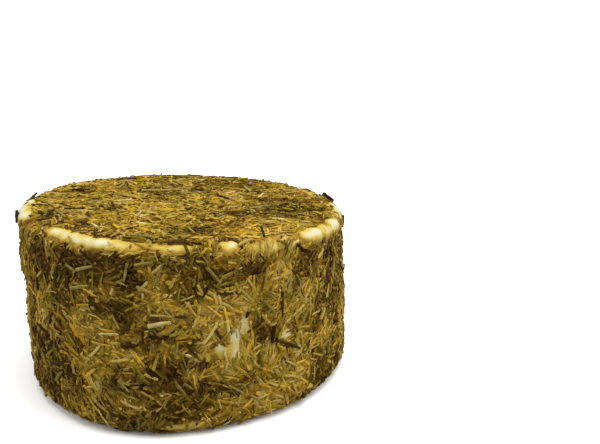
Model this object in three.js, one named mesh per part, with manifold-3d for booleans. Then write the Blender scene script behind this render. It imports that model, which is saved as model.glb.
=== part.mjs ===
// A small drum of soft goat cheese, rolled in dried rosemary.
// The herb coat covers the side and the top, and leaves the rounded top rim bare.
// Millimetres, +Z up. The origin is the middle of the flat underside, and -Y is the front.

import * as THREE from "three";
import { mergeVertices } from "three/addons/utils/BufferGeometryUtils.js";
import Module from "manifold-3d";

const wasm = await Module();
wasm.setup();

// Driving dimensions of the drum
const RADIUS = 49.3; // bare cheese, before the herb coat
const HEIGHT = 52.3; // bare cheese at the middle of the top
const TOP_ROUND = 4;
const BOTTOM_ROUND = 4.6;
const TOP_SLOPE = -0.041; // the top falls towards +X, as the curd settled in its mould
const LEAN = 0.7; // the foot stands this far towards +X of the top
const HOLLOW = 0.4; // the side draws in above mid height, most at -X
const HOLLOW_HEIGHT = 31;
const SWELL = 0.35; // and swells a little below that
const SWELL_HEIGHT = 22;
const BAND_WIDTH = 5; // height over which the hollow and the swell fade

// The herb coat
const COAT = 0.7;
const COAT_STEP = 1.2; // width of the slope at the coat's edge
const BARE_ON_TOP = 2.8; // the top's coat stops this far inside the drum's radius
const BARE_ON_SIDE = 3; // the side's coat stops this far below the top

// Faces round the drum and along its profile
const SEGMENTS = 60;
const CORNER_STEPS = 6;
const SIDE_STEPS = 5;
const FINEST = 0.04; // detail smaller than this is smoothed away

// Rosemary needles that stand out from the coat
const SIDE_NEEDLES = 148;
const TOP_NEEDLES = 68;
const NEEDLE_LENGTH = [4.8, 9];
const NEEDLE_WIDTH = [1.3, 1.9];
const NEEDLE_THICKNESS = 1.3;
const NEEDLE_SIDES = 4;
const NEEDLE_SINK = 0.08; // how far its axis lies under the coat's surface
const NEEDLE_TILT = 0.09; // radians that one end may lift
const FOOT_CLEARANCE = 1.2; // no needle comes closer to the table than this
const SEED = 4900;

const TURN = 2 * Math.PI;
const GOLDEN_ANGLE = Math.PI * (3 - Math.sqrt(5));

// Slow unevenness of the outline: waves round the drum, as [waves in a turn, size, phase]
const TOP_WAVES = [[2, 0.17, 0.9], [3, 0.13, 2.3], [4, 0.27, 3.2]];
const FOOT_WAVES = [[2, 0.24, 0.15], [3, 0.29, -1.2], [4, 0.36, -1.2]];
const DENT_WAVES = [[7, 0.16, 0.4], [11, 0.12, 2.1]];
const EDGE_WAVES = [[3, 0.7, 0.8], [8, 0.55, 2.6], [17, 0.35, 1.1]];

const waves = (list, angle) =>
  list.reduce((sum, [count, size, phase]) => sum + size * Math.cos(count * angle - phase), 0);

const smoothstep = (low, high, value) => THREE.MathUtils.smoothstep(value, low, high);

const bump = (value, middle, width) => Math.exp(-(((value - middle) / width) ** 2));

// A seeded draw of numbers from 0 to 1.
function seededDraw(seed) {
  let state = seed;
  return () => {
    state = (state + 0x6d2b79f5) | 0;
    let mixed = Math.imul(state ^ (state >>> 15), 1 | state);
    mixed = (mixed + Math.imul(mixed ^ (mixed >>> 7), 61 | mixed)) ^ mixed;
    return ((mixed ^ (mixed >>> 14)) >>> 0) / 4294967296;
  };
}

// Points of a quarter-round corner, with its middle at (r, z).
function corner(r, z, radius, fromAngle, toAngle) {
  return Array.from({ length: CORNER_STEPS + 1 }, (_, i) => {
    const angle = THREE.MathUtils.lerp(fromAngle, toAngle, i / CORNER_STEPS);
    return new THREE.Vector2(r + radius * Math.cos(angle), z + radius * Math.sin(angle));
  });
}

// The drum's outline from the middle of the foot, up the side, to the middle of the top.
function drumProfile() {
  const side = [];
  const low = BOTTOM_ROUND;
  const high = HEIGHT - TOP_ROUND;
  for (let i = 1; i < SIDE_STEPS; i += 1) {
    side.push(new THREE.Vector2(RADIUS, THREE.MathUtils.lerp(low, high, i / SIDE_STEPS)));
  }
  const coatEdgeOnSide = HEIGHT - BARE_ON_SIDE;
  const coatEdgeOnTop = RADIUS - BARE_ON_TOP;
  return [
    new THREE.Vector2(0, 0),
    ...corner(RADIUS - BOTTOM_ROUND, BOTTOM_ROUND, BOTTOM_ROUND, -Math.PI / 2, 0),
    ...side,
    new THREE.Vector2(RADIUS, coatEdgeOnSide - 2.5 * COAT_STEP),
    ...corner(RADIUS - TOP_ROUND, HEIGHT - TOP_ROUND, TOP_ROUND, 0, Math.PI / 2),
    new THREE.Vector2(coatEdgeOnTop - 1.5 * COAT_STEP, HEIGHT),
    new THREE.Vector2(coatEdgeOnTop - 3 * COAT_STEP, HEIGHT),
    new THREE.Vector2(0.5 * RADIUS, HEIGHT),
    new THREE.Vector2(0, HEIGHT),
  ];
}

// How much of the herb coat covers a point of the bare drum, from 0 to 1.
function coatCover(radius, height, angle) {
  const edge = waves(EDGE_WAVES, angle);
  const onTop = smoothstep(0, COAT_STEP, RADIUS - BARE_ON_TOP + edge - radius);
  const onSide = smoothstep(0, COAT_STEP, HEIGHT - BARE_ON_SIDE - edge - height);
  return Math.max(height > HEIGHT - TOP_ROUND ? onTop : 0, onSide);
}

// Where a point of the plain round drum lies on the real one, which is uneven and coated.
function settle(point) {
  const radius = Math.hypot(point.x, point.y);
  const angle = Math.atan2(point.y, point.x);
  const rise = point.z / HEIGHT;
  const outward = Math.min(1, radius / RADIUS);
  const cover = coatCover(radius, point.z, angle);
  const onSide = smoothstep(RADIUS - TOP_ROUND, RADIUS, radius);
  const sagging =
    SWELL * bump(point.z, SWELL_HEIGHT, BAND_WIDTH) -
    HOLLOW * bump(point.z, HOLLOW_HEIGHT, BAND_WIDTH);
  const shape =
    THREE.MathUtils.lerp(waves(FOOT_WAVES, angle), waves(TOP_WAVES, angle), rise) +
    waves(DENT_WAVES, angle + 0.02 * point.z) +
    sagging * (0.5 - 0.5 * Math.cos(angle));
  const moved = radius + outward ** 4 * shape + onSide * cover * COAT;
  const lift = rise > 0.5 ? (1 - onSide) * cover * COAT : 0;
  const x = moved * Math.cos(angle) + LEAN * (0.5 - rise);
  const y = moved * Math.sin(angle);
  return new THREE.Vector3(x, y, (point.z + lift) * (1 + (TOP_SLOPE * x * rise) / HEIGHT));
}

// A closed three.js geometry as a solid that can be joined.
function toSolid(geometry) {
  const bare = geometry.index ? geometry.toNonIndexed() : geometry.clone();
  bare.deleteAttribute("normal");
  bare.deleteAttribute("uv");
  const merged = mergeVertices(bare, 1e-4);
  return new wasm.Manifold(
    new wasm.Mesh({
      numProp: 3,
      vertProperties: new Float32Array(merged.attributes.position.array),
      triVerts: new Uint32Array(merged.index.array),
    }),
  );
}

// A joined solid back as a three.js geometry, without the scraps that joining can leave.
function toGeometry(solid) {
  const [whole] = solid.simplify(FINEST).decompose().sort((a, b) => b.volume() - a.volume());
  const mesh = whole.getMesh();
  const geometry = new THREE.BufferGeometry();
  geometry.setAttribute("position", new THREE.BufferAttribute(mesh.vertProperties, 3));
  geometry.setIndex(new THREE.BufferAttribute(mesh.triVerts, 1));
  geometry.computeVertexNormals();
  return geometry;
}

// The drum itself: the outline spun round, then settled into its uneven shape.
function drum() {
  const geometry = new THREE.LatheGeometry(drumProfile(), SEGMENTS);
  geometry.rotateX(Math.PI / 2); // the lathe turns about +Y
  const position = geometry.attributes.position;
  const point = new THREE.Vector3();
  for (let i = 0; i < position.count; i += 1) {
    point.fromBufferAttribute(position, i);
    const settled = settle(point);
    position.setXYZ(i, settled.x, settled.y, settled.z);
  }
  return toSolid(geometry).asOriginal(); // flat areas become one face each
}

// A dried rosemary needle along +Y: a flattened spindle, blunt at its foot.
function needle(length, width) {
  const outline = [
    new THREE.Vector2(0, -0.5 * length),
    new THREE.Vector2(0.5 * width, -0.36 * length),
    new THREE.Vector2(0.42 * width, 0.24 * length),
    new THREE.Vector2(0, 0.5 * length),
  ];
  const geometry = new THREE.LatheGeometry(outline, NEEDLE_SIDES);
  return geometry.scale(1, 1, NEEDLE_THICKNESS / width);
}

// The coat's surface where a point of the plain drum ends up: its place, and three directions,
// round the drum, across (up the side or inwards on the top) and straight out.
function surfaceAt(radius, angle, height) {
  const reach = 1.5; // distance over which the surface's slope is taken
  const place = (r, a, z) => settle(new THREE.Vector3(r * Math.cos(a), r * Math.sin(a), z));
  const middle = place(radius, angle, height);
  const next =
    height < HEIGHT ? place(radius, angle, height + reach) : place(radius - reach, angle, height);
  const round = place(radius, angle + reach / radius, height).sub(middle).normalize();
  const out = round.clone().cross(next.sub(middle)).normalize();
  return { middle, round, across: out.clone().cross(round), out };
}

// A needle laid on the coat, turned to a heading drawn at random.
function layNeedle(radius, angle, height, random) {
  const between = ([low, high]) => THREE.MathUtils.lerp(low, high, random());
  const { middle, round, across, out } = surfaceAt(radius, angle, height);
  const heading = random() * TURN;
  const along = new THREE.Vector3()
    .addScaledVector(round, Math.cos(heading))
    .addScaledVector(across, Math.sin(heading))
    .addScaledVector(out, NEEDLE_TILT * random())
    .normalize();
  const sideways = along.clone().cross(out).normalize();
  const place = new THREE.Matrix4()
    .makeBasis(sideways, along, sideways.clone().cross(along))
    .setPosition(middle.addScaledVector(out, -NEEDLE_SINK));
  return needle(between(NEEDLE_LENGTH), between(NEEDLE_WIDTH)).applyMatrix4(place);
}

// Needles spread evenly up the side and over the top, by golden-angle spirals.
function needles() {
  const random = seededDraw(SEED);
  const laid = [];
  const lowest = BOTTOM_ROUND;
  const highest = HEIGHT - BARE_ON_SIDE - 1;
  for (let i = 0; i < SIDE_NEEDLES; i += 1) {
    const height = THREE.MathUtils.lerp(lowest, highest, (i + 0.5) / SIDE_NEEDLES);
    laid.push(layNeedle(RADIUS, i * GOLDEN_ANGLE, height, random));
  }
  const edge = RADIUS - BARE_ON_TOP;
  for (let i = 0; i < TOP_NEEDLES; i += 1) {
    const radius = edge * Math.sqrt((i + 0.5) / TOP_NEEDLES);
    laid.push(layNeedle(radius, i * GOLDEN_ANGLE, HEIGHT, random));
  }
  return laid.filter((geometry) => {
    geometry.computeBoundingBox();
    return geometry.boundingBox.min.z > FOOT_CLEARANCE;
  });
}

const coated = needles().reduce((body, geometry) => body.add(toSolid(geometry)), drum());

const cheese = new THREE.Mesh(
  toGeometry(coated),
  new THREE.MeshStandardMaterial({ color: "#7d6124", roughness: 0.7, metalness: 0 }),
);
cheese.name = "goat_cheese";

const part = new THREE.Group();
part.add(cheese);

export default part;
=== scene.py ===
import math

import bpy
import bmesh
import numpy as np
from mathutils import Matrix, Vector


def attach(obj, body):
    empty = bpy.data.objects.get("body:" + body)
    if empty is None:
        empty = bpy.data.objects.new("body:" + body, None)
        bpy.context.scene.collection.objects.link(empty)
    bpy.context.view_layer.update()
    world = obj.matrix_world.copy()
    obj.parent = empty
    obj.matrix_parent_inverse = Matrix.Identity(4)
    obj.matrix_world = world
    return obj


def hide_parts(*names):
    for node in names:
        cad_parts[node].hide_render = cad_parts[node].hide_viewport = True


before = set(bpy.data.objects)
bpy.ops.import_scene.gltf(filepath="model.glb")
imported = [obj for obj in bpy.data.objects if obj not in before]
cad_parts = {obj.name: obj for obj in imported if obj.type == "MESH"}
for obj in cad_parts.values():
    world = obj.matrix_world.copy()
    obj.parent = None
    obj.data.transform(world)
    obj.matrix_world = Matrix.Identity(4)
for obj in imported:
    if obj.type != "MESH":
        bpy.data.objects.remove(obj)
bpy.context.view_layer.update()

# A small drum of soft goat cheese rolled in dried rosemary. Sizes in the dictionaries are in
# millimetres and turns in degrees, unless a note says otherwise. The front is towards -Y.
mm = 0.001


# Small helpers for colours, nodes and objects
def hexColour(text, alpha=1.0):
    # sRGB hex to the linear values that Blender's sockets take
    channels = [int(text[i:i + 2], 16) / 255 for i in (1, 3, 5)]
    linear = [c / 12.92 if c <= 0.04045 else ((c + 0.055) / 1.055) ** 2.4 for c in channels]
    return (*linear, alpha)


def addNode(tree, kind, inputs=None, ramp=None, **settings):
    # inputs may be numbers, colours or other nodes' output sockets
    node = tree.nodes.new(kind)
    for name, value in settings.items():
        setattr(node, name, value)
    if ramp:
        elements = node.color_ramp.elements
        while len(elements) < len(ramp):
            elements.new(0.5)
        for element, (place, colour) in zip(elements, ramp):
            element.position = place
            element.color = hexColour(colour)
    for name, value in (inputs or {}).items():
        socket = node.inputs[name]
        if isinstance(value, bpy.types.NodeSocket):
            tree.links.new(value, socket)
        else:
            socket.default_value = value
    return node


def startMaterial(name):
    material = bpy.data.materials.new(name)
    material.use_nodes = True
    material.node_tree.nodes.clear()
    return material, material.node_tree


def finishMaterial(tree, shader):
    output = addNode(tree, "ShaderNodeOutputMaterial")
    tree.links.new(shader.outputs["BSDF"], output.inputs["Surface"])


def deselectAll():
    if bpy.context.mode != "OBJECT":
        bpy.ops.object.mode_set(mode="OBJECT")
    bpy.ops.object.select_all(action="DESELECT")


def makeActive(piece):
    deselectAll()
    piece.select_set(True)
    bpy.context.view_layer.objects.active = piece


def pick(piece, kind, test):
    # in edit mode, selects the vertices, edges or faces that pass the test
    bpy.ops.mesh.select_mode(type=kind)
    bpy.ops.mesh.select_all(action="DESELECT")
    shape = bmesh.from_edit_mesh(piece.data)
    for part in {"VERT": shape.verts, "EDGE": shape.edges, "FACE": shape.faces}[kind]:
        if test(part):
            part.select_set(True)
    shape.select_flush_mode()
    bmesh.update_edit_mesh(piece.data)


def applyModifier(piece, kind, **settings):
    makeActive(piece)
    modifier = piece.modifiers.new(kind.title(), kind)
    for name, value in settings.items():
        setattr(modifier, name, value)
    bpy.ops.object.modifier_apply(modifier=modifier.name)


def getPoints(piece):
    points = np.empty(len(piece.data.vertices) * 3)
    piece.data.vertices.foreach_get("co", points)
    return points.reshape(-1, 3)


def setPoints(piece, points):
    piece.data.vertices.foreach_set("co", points.astype(np.float32).ravel())
    piece.data.update()


def setAttribute(mesh, name, values):
    layer = mesh.attributes.new(name, "FLOAT", "POINT")
    layer.data.foreach_set("value", np.asarray(values, np.float32))


def smoothStep(low, high, value):
    t = np.clip((value - low) / (high - low), 0, 1)
    return t * t * (3 - 2 * t)


def bump(value, middle, width):
    return np.exp(-((value - middle) / width) ** 2)


def turnFrom(angle, degrees):
    # how far an angle in radians is from one in degrees, in degrees from -180 to 180
    return (np.degrees(angle) - degrees + 180) % 360 - 180


# The camera, at the photograph's angle
cameraLook = {
    "place": (-0.35, -178.7, 92.5),
    "turn": 11.56,       # degrees towards +X
    "down": 14.93,
    "roll": 0.78,
    "lens": 33.6,        # on a sensor 36 wide
}


def makeCamera(look):
    turn, down, roll = (math.radians(look[k]) for k in ("turn", "down", "roll"))
    flat = Vector((math.sin(turn), math.cos(turn), 0))
    side = Vector((math.cos(turn), -math.sin(turn), 0))
    view = flat * math.cos(down) - Vector((0, 0, 1)) * math.sin(down)
    upward = side.cross(view)
    right = side * math.cos(roll) + upward * math.sin(roll)
    top = right.cross(view)
    camera = bpy.data.objects.new("camera", bpy.data.cameras.new("camera"))
    bpy.context.scene.collection.objects.link(camera)
    camera.data.lens = look["lens"]
    camera.data.sensor_width = 36
    camera.data.clip_start = 0.005
    camera.matrix_world = Matrix.Translation(Vector(look["place"]) * mm) @ Matrix(
        (right, top, -view)).transposed().to_4x4()
    bpy.context.scene.camera = camera


makeCamera(cameraLook)
print("camera ready")


# The drum's form, shared by the cheese and by what lies on it
drumForm = {
    "radius": 49.3,
    "height": 52.3,
    "topRound": 4.0,
    "bottomRound": 4.6,
    "topSlope": -0.041,     # the top falls towards +X
    "lean": 0.7,            # the foot stands this far towards +X of the top
    "hollow": 0.4,          # the side draws in here, most at -X
    "hollowHeight": 31,
    "swell": 0.35,
    "swellHeight": 22,
    "bandWidth": 5,
    "underRim": 0.55,       # the side is pressed in under the bare rim
    "underRimHeight": 45.5,
    "underRimWidth": 3.4,
    "lift": 0.35,           # the cheese clears the table by the herbs under it
    # waves round the drum: how many in a turn, size, phase in radians
    "topWaves": ((2, 0.17, 0.9), (3, 0.13, 2.3), (4, 0.27, 3.2)),
    "footWaves": ((2, 0.24, 0.15), (3, 0.29, -1.2), (4, 0.36, -1.2)),
    "dentWaves": ((7, 0.16, 0.4), (11, 0.12, 2.1)),
}

# The bare rim, read round the drum: angle, how far in on the top it reaches, how far down the
# side it drops, its stain from 0 (clean ivory) to 1 (brown with herb oil), its bulge outwards
rimTable = (
    (4, 2.6, 2.8, 0.20, 0.3), (16, 1.4, 2.2, 0.70, 0.1), (32, 2.4, 3.2, 0.20, 0.3),
    (46, 1.8, 2.6, 0.50, 0.2), (58, 0.7, 1.4, 0.85, 0.0), (70, 2.0, 3.2, 0.15, 0.4),
    (88, 2.4, 3.2, 0.10, 0.3), (100, 1.6, 2.6, 0.55, 0.1), (112, 0.8, 1.6, 0.85, 0.0),
    (124, 2.2, 3.4, 0.15, 0.4), (140, 2.6, 3.2, 0.05, 0.4), (152, 1.6, 2.4, 0.60, 0.1),
    (166, 2.8, 3.0, 0.20, 0.3), (178, 3.6, 3.8, 0.08, 0.5), (187, 4.2, 4.4, 0.00, 0.7),
    (192, 4.2, 3.6, 0.00, 0.6), (199, 3.7, 2.9, 0.02, 0.5), (204, 3.4, 2.2, 0.12, 0.3),
    (207, 2.0, 1.5, 0.50, 0.1), (210, 2.0, 1.6, 0.45, 0.1), (213, 2.6, 1.7, 0.32, 0.2),
    (216, 2.2, 1.6, 0.46, 0.1), (219, 2.4, 1.5, 0.40, 0.2), (222, 2.9, 1.3, 0.36, 0.2),
    (225, 3.2, 1.9, 0.08, 0.3), (229, 3.4, 2.0, 0.00, 0.3), (235, 3.3, 2.2, 0.03, 0.3),
    (240, 2.9, 2.1, 0.12, 0.3), (243, 2.9, 2.2, 0.08, 0.3), (246, 3.2, 2.4, 0.03, 0.3),
    (249, 3.2, 2.3, 0.12, 0.3), (252, 2.8, 2.3, 0.27, 0.3), (255, 2.6, 2.3, 0.32, 0.2),
    (258, 2.3, 2.0, 0.42, 0.2), (261, 2.1, 2.4, 0.36, 0.2), (264, 2.4, 2.7, 0.28, 0.3),
    (267, 3.2, 2.3, 0.24, 0.3), (270, 2.8, 2.3, 0.34, 0.2), (272.3, 1.6, 1.5, 0.46, 0.1),
    (274.5, 0.8, 1.0, 0.65, 0.0), (277, 1.6, 1.3, 0.50, 0.1), (279, 2.9, 2.1, 0.14, 0.2),
    (281.6, 3.4, 2.7, 0.05, 0.3), (283.6, 2.6, 2.5, 0.12, 0.2), (285, 0.8, 1.2, 0.70, 0.0),
    (287, 2.0, 3.7, 0.40, 0.4), (289.5, 1.8, 4.5, 0.35, 0.6), (292, 1.8, 5.0, 0.35, 0.7),
    (294.5, 2.7, 4.4, 0.35, 0.6), (297, 3.6, 2.5, 0.34, 0.4), (300, 3.5, 1.8, 0.31, 0.4),
    (303, 3.7, 1.6, 0.32, 0.3), (305.8, 1.8, 1.1, 0.62, 0.2), (308, 2.8, 2.4, 0.14, 0.7),
    (310, 3.1, 3.3, 0.02, 1.1), (312.5, 3.5, 3.8, 0.00, 1.2), (315, 3.4, 3.6, 0.08, 1.0),
    (317.6, 2.3, 2.8, 0.22, 0.7), (321, 3.0, 3.9, 0.04, 0.9), (323.8, 2.7, 2.9, 0.20, 0.7),
    (326.5, 2.9, 3.3, 0.04, 0.8), (330, 3.0, 4.6, 0.04, 0.8), (333, 2.1, 4.9, 0.16, 0.7),
    (336, 2.3, 2.6, 0.25, 0.4), (339, 2.4, 2.0, 0.34, 0.3), (342, 3.0, 2.6, 0.14, 0.5),
    (350, 3.3, 3.0, 0.06, 0.7), (357, 3.5, 3.0, 0.06, 0.7),
)

# Places on the side where the cheese shows between the herbs: angle, height, half width,
# half height, how bare (0 to 1), stain
bareSpots = (
    (285.2, 31.4, 1.3, 3.6, 0.95, 0.14), (283.9, 28.8, 1.0, 2.6, 0.70, 0.34),
    (281.6, 25.4, 1.3, 4.0, 0.98, 0.08), (280.2, 23.2, 1.1, 3.2, 0.80, 0.26),
    (277.2, 23.8, 1.6, 2.3, 0.80, 0.30), (280.6, 18.4, 5.4, 1.6, 0.60, 0.44),
    (287.2, 18.6, 1.7, 1.6, 0.85, 0.26), (271.6, 22.8, 2.4, 1.9, 0.75, 0.32),
    (270.0, 18.4, 1.8, 2.2, 0.42, 0.50), (286.6, 35.6, 4.2, 3.2, 0.42, 0.56),
    (273.0, 36.0, 2.2, 2.2, 0.50, 0.40), (253.4, 36.5, 4.6, 4.4, 0.28, 0.78),
    (291.0, 23.4, 1.5, 2.4, 0.40, 0.40), (319.0, 20.0, 1.6, 2.6, 0.55, 0.36),
    (266.5, 2.8, 5.4, 1.7, 0.95, 0.40), (309.8, 3.9, 2.4, 1.9, 0.85, 0.26),
    (279.5, 2.6, 3.4, 1.1, 0.85, 0.48), (299.2, 24.6, 2.2, 1.6, 0.85, 0.22),
    (236.3, 49.2, 3.4, 1.3, 0.60, 0.70), (259.6, 13.3, 2.0, 1.2, 0.55, 0.40),
    (20, 24, 2.2, 3.4, 0.85, 0.30), (58, 36, 3.0, 1.8, 0.70, 0.45), (93, 15, 1.8, 3.0, 0.80, 0.25),
    (131, 30, 2.4, 2.2, 0.70, 0.50), (164, 20, 1.6, 2.6, 0.60, 0.60), (208, 9, 1.6, 1.3, 0.5, 0.6),
)


def waves(table, angle):
    return sum(size * np.cos(count * angle - phase) for count, size, phase in table)


def settle(radius, height, angle, form=drumForm):
    # where a point of the plain round drum lies on the real uneven one, all in millimetres
    rise = height / form["height"]
    outward = np.minimum(1, radius / form["radius"])
    sag = (form["swell"] * bump(height, form["swellHeight"], form["bandWidth"])
           - form["hollow"] * bump(height, form["hollowHeight"], form["bandWidth"]))
    footWave, topWave = waves(form["footWaves"], angle), waves(form["topWaves"], angle)
    shape = (footWave + (topWave - footWave) * rise
             + waves(form["dentWaves"], angle + 0.02 * height)
             + sag * (0.5 - 0.5 * np.cos(angle))
             - form["underRim"] * bump(height, form["underRimHeight"], form["underRimWidth"]))
    moved = radius + outward ** 4 * shape
    x = moved * np.cos(angle) + form["lean"] * (0.5 - rise)
    y = moved * np.sin(angle)
    z = height * (1 + form["topSlope"] * x * rise / form["height"])
    z = z + form["lift"] * (1 - smoothStep(0, 12, height))
    return np.stack([x, y, z], -1)


def outlineEnds(form=drumForm):
    # distances along the outline from the top's middle: to the rim, the side, the foot, the base
    arcs = 0.5 * math.pi * form["topRound"], 0.5 * math.pi * form["bottomRound"]
    side = form["height"] - form["topRound"] - form["bottomRound"]
    return np.cumsum([form["radius"] - form["topRound"], arcs[0], side, arcs[1]])


def profilePlace(distance, form=drumForm):
    # radius and height of a point this far along the outline
    d = np.asarray(distance, float)
    rim, side, foot, base = outlineEnds(form)
    turnTop = np.clip((d - rim) / form["topRound"], 0, math.pi / 2)
    turnLow = np.clip((d - foot) / form["bottomRound"], 0, math.pi / 2)
    down = np.clip(d - side, 0, foot - side)
    radius = (np.minimum(d, rim) + form["topRound"] * np.sin(turnTop)
              - form["bottomRound"] * (1 - np.cos(turnLow)) - np.maximum(d - base, 0))
    height = (form["height"] - form["topRound"] * (1 - np.cos(turnTop)) - down
              - form["bottomRound"] * np.sin(turnLow))
    return np.maximum(radius, 0.05), np.maximum(height, 0)


def makeField(random, size):
    # smooth random values in space, from a few seeded waves about twice as long as the size
    count = 14
    return {"ways": random.normal(size=(count, 3)) / size * 1.8,
            "phases": random.uniform(0, 2 * math.pi, count)}


def fieldAt(field, points):
    # about -1 to 1
    count = len(field["phases"])
    return np.sin(points @ field["ways"].T + field["phases"]).sum(1) / math.sqrt(count / 2)


fieldDraw = np.random.default_rng(77)
layField = makeField(fieldDraw, 9.0)       # the way that needles lie
toneField = makeField(fieldDraw, 11.0)     # darker and lighter stretches
fineField = makeField(fieldDraw, 4.0)
thinField = makeField(fieldDraw, 7.0)      # where the coat is thin
edgeField = makeField(fieldDraw, 1.5)      # how the coat's edge frays
stainField = makeField(fieldDraw, 2.2)     # where herb oil crept into the cheese


def rimAt(angle):
    # the four values of rimTable at an angle in radians
    table = np.array(rimTable)
    turned = np.degrees(angle) % 360
    return [np.interp(turned, table[:, 0], table[:, i], period=360) for i in (1, 2, 3, 4)]


def spotShare(spot, radius, height, angle):
    # how far inside a spot on the side a point lies, from 0 to 1
    turn, level, halfWidth, halfHeight = spot[:4]
    across = np.radians(turnFrom(angle, turn)) * drumForm["radius"]
    far = np.hypot(across / halfWidth, (height - level) / halfHeight)
    return (1 - smoothStep(0.6, 1.3, far)) * (radius > drumForm["radius"] - 6)


def bareAt(radius, height, angle, soft=0.5, frayed=1):
    # how bare the cheese is (0 to 1) and how stained, from the rim and from the bare spots
    reach, drop, stain, bulge = rimAt(angle)
    plain = np.stack([radius * np.cos(angle), radius * np.sin(angle), height], -1)
    fray = frayed * fieldAt(edgeField, plain)
    inward = drumForm["radius"] - radius + 0.25 * fray
    below = drumForm["height"] - height - 0.35 * fray
    onTop = 1 - smoothStep(reach - soft, reach + soft, inward)
    onSide = 1 - smoothStep(drop - soft, drop + soft, below)
    bare = onTop * onSide
    # herb oil has crept up the band's lower edge, and a little over its upper one
    crept = 0.5 * smoothStep(0.35 * drop, 1.1 * drop, below) + 0.3 * smoothStep(0.4 * reach, 1.1 * reach, inward)
    stain = np.clip(stain + crept + 0.08 * fieldAt(stainField, plain), 0, 1)
    for spot in bareSpots:
        # frayed where the herbs begin to cover it
        share = spotShare(spot, radius, height, angle)
        share = spot[4] * np.clip(share + 2 * fray * share * (1 - share), 0, 1)
        stain = np.where(share > bare, spot[5] + 0.08 * fieldAt(stainField, plain), stain)
        bare = np.maximum(bare, share)
    return bare, np.clip(stain, 0, 1)


def swellAt(radius, height, angle):
    # how far the bare rim swells out past the drum, evenly, without its frayed edge
    band = bareAt(radius, height, angle, 1.3, 0)[0] * (height > drumForm["height"] - 8)
    return rimAt(angle)[3] * band


# Patches of the coat, read off the drum: angle, height on the side (or radius on the top), half width, half
# height, how thin the coat is (0 to 1), tone from 0 (dark brown) to 1 (golden ochre); some dark ones on the side
# are painted shade, as noted
sidePatches = (
    # the third patch below, at 258 and height 12, is darkened: painted shade low on the side near the table
    (238.0, 34.0, 16, 13, 0.10, 0.40), (305.0, 33.0, 13, 17, 0.10, 0.66), (258.0, 12.0, 18, 9.0, 0.10, 0.26),
    (268.0, 42.0, 6.5, 4.5, 0.05, 0.28),
    (279.8, 27.0, 7.6, 9.0, 0.10, 0.82), (253.4, 36.5, 6.4, 6.4, 0.55, 0.30), (260.1, 27.6, 4.4, 3.2, 0.20, 0.36),
    # the nine dark patches on the next three lines lie just under the bare rim: painted shade under the rim's lip,
    # laid on as darker herbs and bed
    (225.2, 44.6, 8.8, 4.6, 0.05, 0.02), (242.7, 44.5, 6.2, 3.4, 0.05, 0.10), (252.2, 43.9, 3.8, 2.6, 0.10, 0.00),
    (252.1, 49.4, 4.6, 1.5, 0.20, 0.00), (267.2, 48.0, 5.4, 3.4, 0.00, 0.12), (278.4, 43.3, 5.0, 2.6, 0.10, 0.10),
    (289.3, 45.0, 4.2, 2.4, 0.10, 0.06), (308.4, 43.8, 5.2, 4.0, 0.10, 0.24), (268.9, 39.0, 3.2, 1.9, 0.10, 0.04),
    (248.4, 32.5, 2.4, 3.2, 0.30, 0.10), (251.4, 26.2, 3.6, 1.5, 0.40, 0.00), (261.8, 17.7, 4.4, 3.9, 0.10, 0.02),
    (244.2, 14.9, 4.3, 3.5, 0.10, 0.06), (254.2, 14.9, 2.4, 3.8, 0.10, 0.12), (218.9, 20.1, 7.7, 3.8, 0.10, 0.30),
    # the patch at 292.2 and height 26 below is a dark hole between the bare spots: painted shadow
    (272.4, 12.3, 2.2, 5.1, 0.10, 0.16), (292.2, 26.0, 3.0, 3.1, 0.10, 0.14), (314.3, 6.0, 4.0, 2.1, 0.30, 0.00),
    (258.3, 6.3, 4.8, 2.3, 0.10, 0.22), (215.3, 36.0, 5.8, 5.0, 0.05, 0.84), (238.5, 30.2, 6.6, 4.2, 0.10, 0.80),
    (250.0, 22.6, 5.8, 2.4, 0.15, 0.98), (238.0, 19.3, 5.6, 4.6, 0.10, 0.72), (273.2, 36.1, 3.2, 2.8, 0.30, 0.94),
    (285.4, 37.3, 5.1, 3.4, 0.30, 1.00), (279.6, 18.3, 6.0, 2.6, 0.15, 1.00), (300.7, 33.5, 6.0, 5.0, 0.10, 0.84),
    (319.0, 19.7, 5.0, 3.0, 0.20, 0.92), (248.9, 9.0, 4.4, 2.9, 0.10, 0.80), (268.6, 17.0, 2.6, 2.1, 0.05, 0.94),
    (296.2, 15.0, 8.0, 4.0, 0.10, 0.78), (281.0, 7.3, 6.4, 3.0, 0.10, 0.66), (297.0, 41.0, 6.0, 2.8, 0.10, 0.80),
    (25, 30, 9, 8, 0.3, 0.9), (70, 16, 9, 7, 0.2, 0.1), (108, 34, 9, 8, 0.3, 0.8), (148, 16, 8, 7, 0.2, 0.1),
    (48, 12, 8, 6, 0.1, 0.7), (88, 44, 12, 4, 0.1, 0.1), (128, 22, 7, 7, 0.1, 0.8), (172, 38, 8, 6, 0.1, 0.2),
    (345, 38, 7, 6, 0.1, 0.2), (190, 22, 7, 8, 0.1, 0.75),
)
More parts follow.
